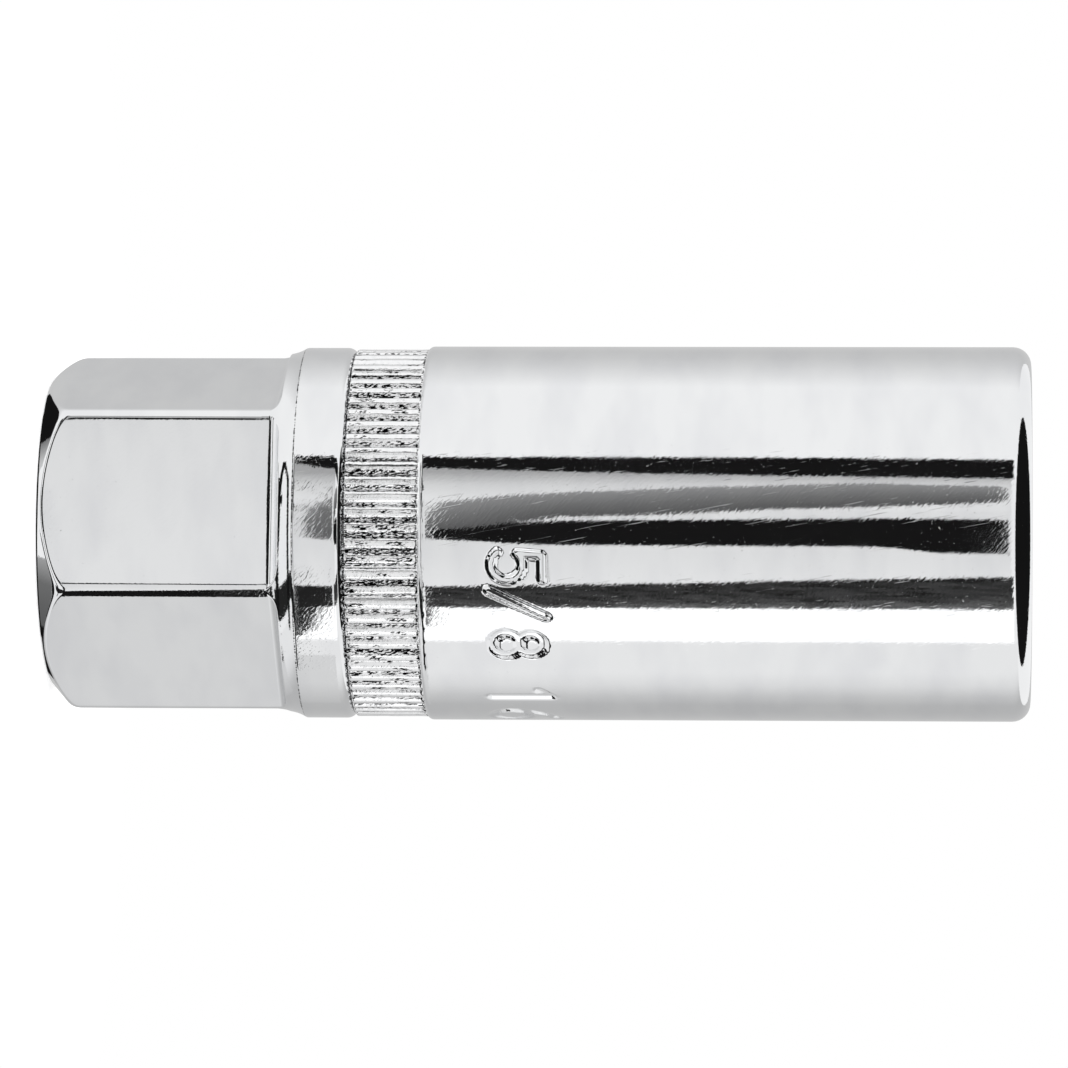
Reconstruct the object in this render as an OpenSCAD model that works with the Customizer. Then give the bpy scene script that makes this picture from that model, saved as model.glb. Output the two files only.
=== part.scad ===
// Spark plug socket: 16 mm hexagon, half-inch square drive, long bore with a rubber bush.
// The steel body is one forged, turned and knurled piece. The bush seats in a groove behind
// the plug hexagon and holds the plug by its insulator.
// Origin at the middle of the drive-end face, +Z along the axis to the open end.
// One flat of the outer hexagon faces -Y.

/* [Overall] */
// Length from the drive end to the open end
overall_l = 65; // [60:0.5:80]
// Diameter of the plain barrel
barrel_d = 24.8; // [24:0.1:27]
// Radius on the barrel's edge beside the knurl
barrel_edge_r = 0.45; // [0.2:0.05:0.7]
// Radius on the outer edge of the open end
mouth_edge_r = 1.2; // [0.4:0.1:1.6]

/* [Outer hexagon] */
// Width across the flats
hex_flats = 20.8; // [20.4:0.1:21.2]
// Radius along the six edges
hex_edge_r = 1; // [0.5:0.1:1.5]
// Length of the flats, up to where they start to rise
flat_l = 15.2; // [13:0.1:18]
// Radius of the hollow in which each flat ends
run_out_r = 0.7; // [0.4:0.1:1]
// Length of the conical shoulder from the flats' end to the collar
shoulder_l = 1.4; // [1.2:0.1:2]
// Radius of the flat ring on the drive end, inside the chamfer
end_ring_r = 10.05; // [9.6:0.05:10.2]
// Angle between the chamfer and the end face
chamfer_angle = 40; // [30:1:50]

/* [Collar and knurl] */
// Diameter of the round collar
collar_d = 24.6; // [24.2:0.1:26]
// Width of the collar along the axis
collar_w = 3.75; // [2.5:0.05:6]
// Radius on the collar's edge beside the hexagon
collar_edge_r = 0.45; // [0.2:0.05:0.6]
// Radius on the collar's edge beside the knurl
collar_rim_r = 0.65; // [0.3:0.05:1]
// Diameter over the ridges of the knurl
knurl_d = 24.4; // [24:0.05:25.2]
// Width of the knurled band along the axis
knurl_w = 4.7; // [3:0.1:8]
// Number of ridges
knurl_count = 74; // [50:1:90]
// Depth of the 90 degree grooves between the ridges
knurl_depth = 0.3; // [0.15:0.05:0.35]

/* [Square drive] */
// Width of the square that drives the socket
drive_square = 12.7; // [12:0.1:13]
// Room between that square and the recess, across the flats
drive_clear = 0.1; // [0.05:0.05:0.2]
// Depth of the square recess
drive_depth = 16; // [14:0.5:18]
// Radius in the corners of the recess
drive_corner_r = 0.8; // [0.4:0.1:1.2]
// Diameter of the countersink at the recess's mouth
drive_sink_d = 15; // [14:0.1:16]
// Distance of the ball dimples from the drive end
dimple_z = 8; // [6:0.5:10]
// Diameter of the dimples at the recess's wall
dimple_d = 4.6; // [3:0.1:5]
// Depth of the dimples
dimple_depth = 0.9; // [0.5:0.1:1.2]

/* [Bore] */
// Diameter of the hole from the recess into the bore
neck_d = 11; // [10.2:0.1:12]
// Thickness of the web that the neck goes through
web_t = 2.5; // [1.5:0.5:4]
// Diameter of the long bore
bore_d = 15.6; // [14.5:0.1:16]

/* [Plug hexagon] */
// Size of the plug's hexagon across the flats
plug_hex = 16; // [15:0.1:17]
// Room around the plug's hexagon, across the flats
plug_clear = 0.12; // [0.05:0.01:0.3]
// Depth of the hexagon from the open end
plug_depth = 16; // [12:0.5:20]
// Diameter of the conical lead-in at the open end
lead_d = 19.2; // [18.8:0.1:20]
// Depth of the lead-in
lead_l = 1.5; // [0.8:0.1:2.5]

/* [Groove and bush] */
// Width of the groove behind the hexagon
groove_w = 3; // [2.6:0.1:5]
// Room between the hexagon's corners and the groove's wall
groove_room = 0.15; // [0.05:0.05:0.4]
// Thickness of the bush's flange, which sits in the groove
flange_t = 2.2; // [1.5:0.1:2.5]
// Room around the bush and its flange, filled by the glue
bush_clear = 0.05; // [0.02:0.01:0.1]
// Length of the bush below its flange
bush_l = 13; // [8:0.5:18]
// Diameter of the bush's bore, which grips the insulator
grip_d = 10; // [9:0.1:10.8]
// Diameter of the funnel at the top of the bush
funnel_d = 13.6; // [12:0.1:15]
// Depth of the funnel
funnel_l = 4; // [2:0.5:6]
// Height of the 45 degree chamfer round the bush's lower end
bush_chamfer = 0.8; // [0.3:0.1:1.2]

/* [Hidden] */
$fn = 96;
chrome = [0.83, 0.84, 0.85];
black_rubber = [0.09, 0.09, 0.09];

// Cuts reach this far past the face they start from
past = 1;
// Solids of the body that meet end to end overlap by this much
lap = 0.05;
// Angle of the faint crease where a flat meets a round edge
hex_crease = 5;

barrel_r = barrel_d / 2;
collar_r = collar_d / 2;
knurl_r = knurl_d / 2;
hex_h = hex_flats / 2;
hex_centre_r = (hex_h - hex_edge_r * cos(hex_crease)) / cos(30);
hex_point_r = hex_centre_r + hex_edge_r;
collar_z = flat_l + shoulder_l;
knurl_z = collar_z + collar_w;
barrel_z = knurl_z + knurl_w;
drive_w = drive_square + drive_clear;
bore_z = drive_depth + web_t;
plug_w = plug_hex + plug_clear;
plug_point_r = plug_w / 2 / cos(30);
groove_r = plug_point_r + groove_room;
groove_z = overall_l - plug_depth - groove_w;

// A disc with a round edge of its own radius at each end
module round_edged_disc(r, h, low_r, high_r) {
    rotate_extrude() {
        square([r - low_r, h - high_r]);
        translate([0, low_r]) square([r - high_r, h - low_r]);
        translate([0, low_r]) square([r, h - low_r - high_r]);
        translate([r - low_r, low_r]) circle(low_r);
        translate([r - high_r, h - high_r]) circle(high_r);
    }
}

// A hexagon with round corners, flats facing +Y and -Y
module round_hexagon() {
    flat_w = 2 * hex_centre_r * sin(30);
    intersection() {
        circle(hex_h / cos(30), $fn = 6);
        union() {
            circle(hex_centre_r, $fn = 6);
            for (turn = [0:60:120])
                rotate(turn) square([flat_w, hex_flats], center = true);
            for (turn = [0:60:300])
                rotate(turn) translate([hex_centre_r, 0]) circle(hex_edge_r);
        }
    }
}

// The hexagon's length, with the drive end turned to a chamfer
module hexagon_bar() {
    chamfer_w = hex_point_r + past - end_ring_r;
    chamfer_l = chamfer_w * tan(chamfer_angle);
    intersection() {
        linear_extrude(flat_l + lap) round_hexagon();
        union() {
            cylinder(r1 = end_ring_r, r2 = end_ring_r + chamfer_w, h = chamfer_l);
            translate([0, 0, chamfer_l - lap]) cylinder(r = hex_point_r + past, h = flat_l);
        }
    }
}

// One milled flat's end: a half-round hollow across the flat, then a step out to the shoulder
module run_out_cut() {
    translate([0, -hex_h - run_out_r, flat_l]) rotate([0, 90, 0])
        cylinder(r = run_out_r, h = 2 * collar_r, center = true);
    translate([-collar_r, -hex_h - run_out_r - collar_r, flat_l - past])
        cube([2 * collar_r, collar_r, past + run_out_r]);
}

// The shoulder below the collar, into which the six flats are milled
module shoulder() {
    difference() {
        translate([0, 0, flat_l])
            cylinder(r1 = hex_point_r, r2 = collar_r, h = shoulder_l + collar_edge_r + lap);
        for (turn = [0:60:300])
            rotate(turn) run_out_cut();
    }
}

// Straight knurl: flat-topped ridges with 90 degree grooves between them
module knurl() {
    pitch = 360 / knurl_count;
    root_r = knurl_r - knurl_depth;
    groove_half = atan(knurl_depth / knurl_r);
    linear_extrude(knurl_w + 2 * lap)
        polygon([
            for (i = [0:knurl_count - 1], corner = [[0, root_r], [groove_half, knurl_r],
                                                    [pitch - groove_half, knurl_r]])
                corner[1] * [cos(i * pitch + corner[0]), sin(i * pitch + corner[0])]
        ]);
}

// The body's outside, from the drive end to the open end
module body_outside() {
    hexagon_bar();
    shoulder();
    translate([0, 0, collar_z])
        round_edged_disc(collar_r, collar_w, collar_edge_r, collar_rim_r);
    translate([0, 0, knurl_z - lap]) knurl();
    translate([0, 0, barrel_z])
        round_edged_disc(barrel_r, overall_l - barrel_z, barrel_edge_r, mouth_edge_r);
}

// The square recess: round corners, countersunk mouth, four dimples for the ball of the drive
module drive_recess() {
    straight = drive_w - 2 * drive_corner_r;
    sink_l = (drive_sink_d - drive_w) / 2 + drive_corner_r;
    ball_r = (pow(dimple_d / 2, 2) + pow(dimple_depth, 2)) / (2 * dimple_depth);
    translate([0, 0, -past]) linear_extrude(past + drive_depth) {
        square([straight, drive_w], center = true);
        square([drive_w, straight], center = true);
        for (x = [-1, 1], y = [-1, 1])
            translate([x, y] * straight / 2) circle(drive_corner_r);
    }
    translate([0, 0, -past])
        cylinder(r1 = drive_sink_d / 2 + past, r2 = drive_sink_d / 2 - sink_l, h = past + sink_l);
    for (turn = [0:90:270])
        rotate(turn) translate([drive_w / 2 + dimple_depth - ball_r, 0, dimple_z]) sphere(ball_r);
}

// A cone that widens from r1 to r2 over h, and goes on past its wide end at the same slope
module funnel_cut(r1, r2, h) {
    slope = (r2 - r1) / h;
    cylinder(r1 = r1, r2 = r2 + slope * past, h = h + past);
}

// The hexagon for the plug, with its lead-in and the groove behind it
module plug_recess() {
    translate([0, 0, groove_z]) cylinder(r = groove_r, h = groove_w);
    translate([0, 0, groove_z + lap])
        cylinder(r = plug_point_r, h = overall_l - groove_z + past, $fn = 6);
    translate([0, 0, overall_l - lead_l]) funnel_cut(plug_w / 2, lead_d / 2, lead_l);
}

module socket_body() {
    color(chrome) difference() {
        body_outside();
        drive_recess();
        translate([0, 0, drive_depth - past]) cylinder(d = neck_d, h = past + web_t + past);
        translate([0, 0, bore_z]) cylinder(d = bore_d, h = groove_z - bore_z + lap);
        plug_recess();
    }
}

module rubber_bush() {
    bush_r = bore_d / 2 - bush_clear;
    flange_r = groove_r - bush_clear;
    color(black_rubber) translate([0, 0, groove_z]) difference() {
        union() {
            cylinder(r = flange_r, h = flange_t);
            translate([0, 0, bush_chamfer - bush_l]) cylinder(r = bush_r, h = bush_l);
            translate([0, 0, -bush_l])
                cylinder(r1 = bush_r - bush_chamfer, r2 = bush_r, h = bush_chamfer);
        }
        translate([0, 0, -bush_l - past]) cylinder(d = grip_d, h = bush_l + flange_t + 2 * past);
        translate([0, 0, flange_t - funnel_l]) funnel_cut(grip_d / 2, funnel_d / 2, funnel_l);
    }
}

socket_body();
rubber_bush();
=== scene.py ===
# %% [markdown]
# # A chrome-plated spark plug socket
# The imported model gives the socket's two pieces, a steel body and a rubber bush, at their real
# size. This lesson remakes their surfaces with the soft edges, the stamped figures and the
# polishing marks of the real thing, plates them with chrome, and lights them as a product is lit.
# Chrome has no colour of its own: most of the work is in what it reflects.

import bpy
import numpy as np
from mathutils import Matrix, Vector


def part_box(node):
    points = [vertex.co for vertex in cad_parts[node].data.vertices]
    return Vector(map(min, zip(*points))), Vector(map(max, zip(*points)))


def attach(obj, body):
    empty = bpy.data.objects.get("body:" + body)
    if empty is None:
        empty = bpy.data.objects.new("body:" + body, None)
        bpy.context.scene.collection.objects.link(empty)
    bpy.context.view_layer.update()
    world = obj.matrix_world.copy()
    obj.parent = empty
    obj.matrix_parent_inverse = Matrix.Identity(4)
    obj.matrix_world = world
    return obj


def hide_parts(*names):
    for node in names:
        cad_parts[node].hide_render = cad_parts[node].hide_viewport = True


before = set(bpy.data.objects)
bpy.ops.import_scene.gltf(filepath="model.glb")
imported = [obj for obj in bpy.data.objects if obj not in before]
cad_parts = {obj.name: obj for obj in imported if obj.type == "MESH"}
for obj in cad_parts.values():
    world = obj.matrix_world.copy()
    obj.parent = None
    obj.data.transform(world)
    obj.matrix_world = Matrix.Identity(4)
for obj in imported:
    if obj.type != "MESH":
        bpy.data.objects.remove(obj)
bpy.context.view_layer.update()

# %% [markdown]
# ## Sizes
# Everything is worked out in millimetres and turned to metres at the very end. The length, the
# barrel and the bush are read from the frame; the other sizes are those of the turned body.
# Angles go round the axis from +X, so a corner of the hexagon is at 0 and a flat faces -Y.

# %% Sizes of the body
MM = 0.001
DEG = np.pi / 180
body_low, body_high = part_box("socket_body")
bush_low, bush_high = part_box("rubber_bush")
LENGTH = (body_high.z - body_low.z) / MM
BARREL_R = min(body_high.x, body_high.y) / MM

HEX_H = 20.8 / 2  # half the width across the flats
HEX_EDGE_R = 0.85
FLAT_L = 15.2
RUN_OUT_R = 0.7  # the nose of the cutter that milled the flats
END_RING_R = 10.05  # the flat ring inside the chamfer
CHAMFER_ANGLE = 40 * DEG
SHOULDER_Z, SHOULDER_END = 15.6, 17.13
COLLAR_R = 24.6 / 2
COLLAR_RIM_R = 0.65
COLLAR_END = 20.35
KNURL_R = 24.4 / 2
KNURL_DEPTH = 0.3
KNURL_COUNT = 74
BARREL_Z = 25.05
BARREL_EDGE_R = 0.45
MOUTH_EDGE_R = 1.2
print(f"length {LENGTH:.2f} mm, barrel radius {BARREL_R:.3f} mm")

# %% [markdown]
# ## The section as complex numbers
# The body was turned on a lathe, so it is easiest to think of its section: a line that runs up
# the outside and back down the bore. A point of the section is one complex number, radius plus
# i times height, so a step outwards is 1 and a step upwards is 1j. A row holds one such point for
# every angle round the axis, which lets the hexagon, the knurl and the figures depart from round.

# %% Section helpers
OUT, UP, IN, DOWN = 1, 1j, -1, -1j


def unit(step):
    """The step's direction: the step divided by its length."""
    return step / np.abs(step)


def rising(first, last, steps):
    """Numbers from first to last in equal steps, one to a row."""
    return np.linspace(first, last, steps)[:, None]


def bend(corner, before, after, reach, steps):
    """Rows round a corner: the parabola that leaves the line that arrives along before, at a
    distance reach from the corner, and joins the line that goes on along after."""
    f = rising(0, 1, steps)
    return corner - before * reach * (1 - f) ** 2 + after * reach * f**2


def pull(first, corner, last, f):
    """Rows on the parabola from first to last that heads for the corner from both: the three
    points weighted by (1 - f) squared, 2 f (1 - f) and f squared."""
    return (1 - f) ** 2 * first + 2 * f * (1 - f) * corner + f**2 * last


def arc(centre, radius, first, last, steps):
    """Rows on a circle of the section: centre plus radius at each angle from first to last."""
    return centre + radius * np.exp(1j * DEG * rising(first, last, steps))


def polygon_r(angle, sides, apothem, corner_r, first_flat):
    """Distance from the axis to a regular polygon with round corners. On a flat it is the apothem
    over the cosine of the angle from the flat's middle. At a corner it is the far crossing of a
    ray with a circle of radius corner_r that touches both flats."""
    half = np.pi / sides
    psi = np.abs((angle - first_flat * DEG + half) % (2 * half) - half)
    centre = (apothem - corner_r) / np.cos(half)
    off = centre * np.sin(half - psi)
    flat = apothem / np.cos(psi)
    rounded = centre * np.cos(half - psi) + np.sqrt(np.maximum(corner_r**2 - off**2, 0))
    return np.where(psi > np.arctan(centre * np.sin(half) / apothem), rounded, flat)


# %% Columns round the axis
COLUMNS_PER_RIDGE = 9
COLUMNS = KNURL_COUNT * COLUMNS_PER_RIDGE
theta = 2 * np.pi * np.arange(COLUMNS) / COLUMNS
round_row = np.ones((1, COLUMNS))
hex_r = polygon_r(theta, sides=6, apothem=HEX_H, corner_r=HEX_EDGE_R, first_flat=30)
print(f"{COLUMNS} columns; hexagon from {hex_r.min():.3f} to {hex_r.max():.3f} mm from the axis")

# %% [markdown]
# ## The hexagon
# The outer hexagon takes a spanner when no ratchet is at hand. Its drive end was turned to a
# chamfer, which cuts each flat in an arc: the further a point lies outside the end ring, the higher
# the chamfer reaches there. Making the rows follow that arc keeps it crisp, which a grid of level
# rows would not. Polishing has softened both edges of the chamfer, most of all at its six corners.

# %% Drive end and flats
FACE_R = 9.3
RING_REACH = 0.24
CHAMFER_REACH, CORNER_REACH = 0.2, 0.6
CORNER_POWER = 6
FLAT_HEIGHTS = np.array([[2.6], [8.0], [14.0]])
CHAMFER = np.exp(1j * CHAMFER_ANGLE)
corner_share = (hex_r - HEX_H) / (hex_r.max() - HEX_H)
chamfer_reach = CHAMFER_REACH + (CORNER_REACH - CHAMFER_REACH) * corner_share**CORNER_POWER
chamfer_z = (hex_r - END_RING_R) * np.tan(CHAMFER_ANGLE)
drive_end_rows = np.vstack([
    FACE_R * round_row,
    bend(END_RING_R * round_row, OUT, CHAMFER, RING_REACH, steps=5),
    bend(hex_r + 1j * chamfer_z, CHAMFER, UP, chamfer_reach, steps=7),
    hex_r + 1j * FLAT_HEIGHTS,
])
print(f"chamfer reaches {chamfer_z.min():.2f} mm at a flat, {chamfer_z.max():.2f} at a corner")

# %% [markdown]
# ## The shoulder
# Between the hexagon and the collar the bar was turned to a shoulder, hollow at its foot and round
# at its top. Each flat was then milled up to it with a round-nosed cutter, which left a small
# hollow and a step. Flat, hollow and step are one path. Each column follows that path until it
# meets the shoulder, early at a corner and late in the middle of a flat, and is rounded over there.

# %% Hollow and shoulder
HOLLOW_TURN = 85 * DEG
STEP_SLOPE = 5 * DEG
HOLLOW_SHARE = 0.87
shoulder_w = COLLAR_R - hex_r.max()
shoulder_l = SHOULDER_END - SHOULDER_Z
both_r = (shoulder_w**2 + shoulder_l**2) / (2 * shoulder_w)
HOLLOW_R, ROUND_R = HOLLOW_SHARE * both_r, (1 - HOLLOW_SHARE) * both_r


def hollow(s):
    """The path up a flat at distance s from where the hollow starts: below 0 the flat, then an arc
    of radius RUN_OUT_R up to HOLLOW_TURN, then a straight step."""
    turn = np.clip(s / RUN_OUT_R, 0, HOLLOW_TURN)
    step = np.maximum(s - RUN_OUT_R * HOLLOW_TURN, 0)
    apothem = HEX_H + RUN_OUT_R * (1 - np.cos(turn)) + step * np.cos(STEP_SLOPE)
    height = FLAT_L + np.minimum(s, 0) + RUN_OUT_R * np.sin(turn) + step * np.sin(STEP_SLOPE)
    return polygon_r(theta, 6, apothem, HEX_EDGE_R, first_flat=30) + 1j * height


def shoulder(height):
    """The shoulder's section point at a height: two arcs that run into each other, the lower one
    hollow with a radius HOLLOW_R, the upper one round with a radius ROUND_R."""
    up = np.clip(height - SHOULDER_Z, 0, shoulder_l)
    down = shoulder_l - up
    low = hex_r.max() + HOLLOW_R - np.sqrt(np.maximum(HOLLOW_R**2 - up**2, 0))
    high = COLLAR_R - ROUND_R + np.sqrt(np.maximum(ROUND_R**2 - down**2, 0))
    return np.where(up < HOLLOW_SHARE * shoulder_l, low, high) + 1j * height


print(f"shoulder's arcs: {HOLLOW_R:.2f} and {ROUND_R:.2f} mm")

# %% Rows from the flats to the collar
# The shoulder's rows crowd towards the collar, where it turns most.
HOLLOW_START = -0.5
LONGEST_PATH, PATH_TRIES = 3, 1201
TOUCH = 1e-6
LIP_REACH = 0.09
CROWDING = 1.5
tries = rising(0, LONGEST_PATH, PATH_TRIES)
path = hollow(tries)
on_shoulder = path.real >= shoulder(path.imag).real - TOUCH
meets = tries[np.argmax(on_shoulder, axis=0), 0]
lip_z = hollow(meets).imag
lip_end = lip_z + LIP_REACH
hollow_rows = hollow(HOLLOW_START + (meets - LIP_REACH - HOLLOW_START) * rising(0, 1, 14))
lip_rows = pull(hollow_rows[-1], shoulder(lip_z), shoulder(lip_end), rising(0.2, 1, 5))
up_shoulder = 1 - rising(0.95, 0, 21) ** CROWDING
shoulder_rows = shoulder(lip_end + (SHOULDER_END - lip_end) * up_shoulder)
print(f"hollows meet the shoulder {meets.min():.2f} to {meets.max():.2f} mm along their path")

# %% Collar
COLLAR_HEIGHTS = np.array([[17.3], [18.5], [19.6]])
RIM_LAST = 68
rim_centre = COLLAR_R - COLLAR_RIM_R + 1j * (COLLAR_END - COLLAR_RIM_R)
collar_rows = np.vstack([
    COLLAR_R + 1j * COLLAR_HEIGHTS * round_row,
    arc(rim_centre, COLLAR_RIM_R, 0, RIM_LAST, steps=9) * round_row,
])
print(f"the collar's rim ends {collar_rows[-1, 0].real:.2f} mm from the axis")

# %% [markdown]
# ## The knurl
# A straight knurl gives the fingers a grip. A knurling wheel pressed V grooves into the band, and
# what stands between them is left flat on top. Boolean cuts would leave slivers, so the depth of a
# groove is a function instead: a softened tent of the angle from its root. No wheel is perfect, so
# each ridge wanders a little in height and angle; a fixed seed keeps the same wander every time.

# %% Section of the knurl
# The columns of a ridge stand at these shares of the pitch, from one groove's root to the next.
COLUMN_SHARES = np.array([0, 0.093, 0.206, 0.31, 0.43, 0.57, 0.69, 0.794, 0.907])
KNURL_SOFT = 0.04
pitch = 2 * np.pi / KNURL_COUNT
groove_half = np.arctan(KNURL_DEPTH / KNURL_R)
from_root = pitch * np.tile(np.minimum(COLUMN_SHARES, 1 - COLUMN_SHARES), KNURL_COUNT)
tent = KNURL_DEPTH * (1 - from_root / groove_half)
knurl_r = KNURL_R - np.minimum((tent + np.sqrt(tent**2 + KNURL_SOFT**2)) / 2, KNURL_DEPTH)
knurl_theta = np.repeat(pitch * np.arange(KNURL_COUNT), COLUMNS_PER_RIDGE)
knurl_theta = knurl_theta + pitch * np.tile(COLUMN_SHARES, KNURL_COUNT)
print(f"{KNURL_COUNT} ridges stand {np.ptp(knurl_r):.2f} mm above the grooves")

# %% Knurled band
WANDER_R = 0.018
WANDER_ANGLE = 0.10 * DEG
KNURL_HEIGHTS = np.array([20.62, 21.4, 22.2, 23.0, 23.8, 24.6])
RIDGE_END_Z = 20.33
RIDGE_END_L = 0.16
VALLEY_DROP = 0.01
wander = np.random.default_rng(74)


def ridge_wander(size):
    """One random number per ridge and row, given to all the columns of that ridge."""
    drawn = wander.uniform(-1, 1, (len(KNURL_HEIGHTS), KNURL_COUNT))
    return size * np.repeat(drawn, COLUMNS_PER_RIDGE, axis=1)


valley_r = collar_rows[-1].real.min() - VALLEY_DROP
valley = (valley_r + 1j * (RIDGE_END_Z - VALLEY_DROP)) * round_row
ridge_corner = knurl_r + 1j * RIDGE_END_Z
ridge_rows = pull(valley, ridge_corner, ridge_corner + 1j * RIDGE_END_L, rising(0.25, 1, 4))
band_rows = knurl_r - np.abs(ridge_wander(WANDER_R)) + 1j * KNURL_HEIGHTS[:, None]
band_theta = knurl_theta + ridge_wander(WANDER_ANGLE)
print(f"the ridges wander by up to {np.max(knurl_r - band_rows.real):.3f} mm")

# %% Where the ridges run into the barrel
BAND_STOP, BAND_END = 0.15, 0.01
edge_centre = BARREL_R - BARREL_EDGE_R + 1j * (BARREL_Z + BARREL_EDGE_R)
meet_angle = -np.arccos(np.clip((knurl_r - edge_centre.real) / BARREL_EDGE_R, 0, 1))
meet_z = edge_centre.imag + BARREL_EDGE_R * np.sin(meet_angle)
band_end_rows = knurl_r + 1j * np.vstack([meet_z - BAND_STOP, meet_z - BAND_END])
round_edge = np.exp(1j * meet_angle * (1 - rising(0.2, 1, 5)))
barrel_edge_rows = edge_centre + BARREL_EDGE_R * round_edge
print(f"the ridges meet the barrel at {meet_z.max():.2f} mm")

# %% [markdown]
# ## Stamped figures
# The barrel carries the plug's hexagon in inches and in millimetres, stamped in before plating.
# A figure is a few strokes, each a straight line or an arc. The distance from a point of the
# barrel to the nearest stroke gives the depth there: full in the middle, sloping up at the sides.
# Modelled this way the figures are real hollows, which catch the light from every side.

# %% Strokes of the figures
# Points of a figure are complex numbers too, in shares of its height, from its lower left corner.


def line_distance(p, a, b):
    """Distance from p to the line from a to b: p less its nearest point, which is the foot of the
    perpendicular, kept between the two ends."""
    along = np.clip(((p - a) * np.conj(b - a)).real / abs(b - a) ** 2, 0, 1)
    return np.abs(p - a - along * (b - a))


def arc_distance(p, centre, radius, middle, half_turn):
    """Distance from p to an arc: the difference of radii within half_turn of the middle angle,
    and the distance to the nearer end outside it."""
    q = (p - centre) * np.exp(-1j * DEG * middle)
    end = radius * np.exp(1j * DEG * half_turn)
    inside = np.abs(np.angle(q)) <= half_turn * DEG
    return np.where(inside, np.abs(np.abs(q) - radius), np.abs(q.real + 1j * np.abs(q.imag) - end))


FIGURES = {
    "1": [(line_distance, 0.30, 0.30 + 1j), (line_distance, 0.30 + 1j, 0.10 + 0.80j)],
    "5": [
        (line_distance, 0.58 + 1j, 0.10 + 1j),
        (line_distance, 0.10 + 1j, 0.07 + 0.52j),
        (arc_distance, 0.29 + 0.31j, 0.31, -5, 140),
    ],
    "6": [(arc_distance, 0.30 + 0.29j, 0.29, 0, 180), (arc_distance, 0.80 + 0.29j, 0.79, 145, 35)],
    "8": [(arc_distance, 0.30 + 0.76j, 0.24, 0, 180), (arc_distance, 0.30 + 0.27j, 0.27, 0, 180)],
    "/": [(line_distance, -0.05 - 0.06j, 0.50 + 1.06j)],
}
print(f"{sum(len(strokes) for strokes in FIGURES.values())} strokes for {len(FIGURES)} figures")

# %% Depth of the stamping
# The camera looks along a line that is turned this far from the flat that faces -Y.
CAMERA_TURN = 11.3
VIEW_ANGLE = (CAMERA_TURN - 90) * DEG
STROKE_HALF = 0.27
STROKE_WALL = 0.17
STROKE_DEPTH = 0.17
FIGURE_STEP, FIGURE_INSET = 0.86, 0.12
STAMP_LOW, STAMP_HIGH, STAMP_ROWS = 29.3, 34.0, 32
STAMPS = [
    # figures, turn from the camera's line, foot, height
    ("5/8", -23, 29.95, 3.3),
    ("16", -68, 29.7, 3.9),
]


def stamp_depth(z):
    """Depth of the figures at height z for every column: for each figure, the distance to its
    nearest stroke, turned into a depth by a smooth step from the groove's floor to its rim."""
    nearest = np.full((len(z), COLUMNS), np.inf)
    for text, turn, foot, height in STAMPS:
        middle = VIEW_ANGLE - turn * DEG
        around = (theta - middle + np.pi) % (2 * np.pi) - np.pi
        p = (BARREL_R * around + 1j * (z[:, None] - foot)) / height
        for place, figure in enumerate(text):
            local = p - FIGURE_STEP * (place - len(text) / 2) - FIGURE_INSET
            strokes = [measure(local, *shape) for measure, *shape in FIGURES[figure]]
            nearest = np.minimum(nearest, height * np.min(strokes, axis=0))
    rise = np.clip((STROKE_HALF + STROKE_WALL / 2 - nearest) / STROKE_WALL, 0, 1)
    return STROKE_DEPTH * rise**2 * (3 - 2 * rise)


stamp_z = np.linspace(STAMP_LOW, STAMP_HIGH, STAMP_ROWS)
stamped = stamp_depth(stamp_z)
print(f"stamped area {np.mean(stamped > 0):.3f} of its band, {stamped.max():.2f} mm deep")

# %% Barrel and open end
BARREL_FOOT = np.array([[25.7], [27.5], [29.1]])
BARREL_LENGTH = np.array([[34.3], [44.0], [54.0], [63.4]])
END_FACE = np.array([[10.8], [10.3]])
mouth_centre = BARREL_R - MOUTH_EDGE_R + 1j * (LENGTH - MOUTH_EDGE_R)
barrel_rows = np.vstack([
    BARREL_R + 1j * BARREL_FOOT * round_row,
    BARREL_R - stamped + 1j * stamp_z[:, None],
    BARREL_R + 1j * BARREL_LENGTH * round_row,
    arc(mouth_centre, MOUTH_EDGE_R, 0, 90, steps=9) * round_row,
    (END_FACE + 1j * LENGTH) * round_row,
])
outer_sets = [
    (theta, drive_end_rows),
    (theta, hollow_rows),
    (theta, np.vstack([lip_rows, shoulder_rows, collar_rows])),
    (knurl_theta, np.vstack([valley, ridge_rows])),
    (band_theta, band_rows),
    (knurl_theta, np.vstack([band_end_rows, barrel_edge_rows])),
    (theta, barrel_rows),
]
outer_theta = np.vstack([np.broadcast_to(angles, rows.shape) for angles, rows in outer_sets])
outer_rows = np.vstack([rows for _, rows in outer_sets])
print(f"{len(outer_rows)} rows on the outside")

# %% [markdown]
# ## The inside
# From the open end down: a conical lead-in, the hexagon for the plug, a groove for the bush's
# flange, the long bore, a web with a hole for the plug's terminal, and the square for the ratchet
# with a dimple in each wall for the ratchet's ball. Fewer columns are enough here. Where the
# lead-in meets the hexagon the edge rises and falls, so its height is worked out per column.

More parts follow.
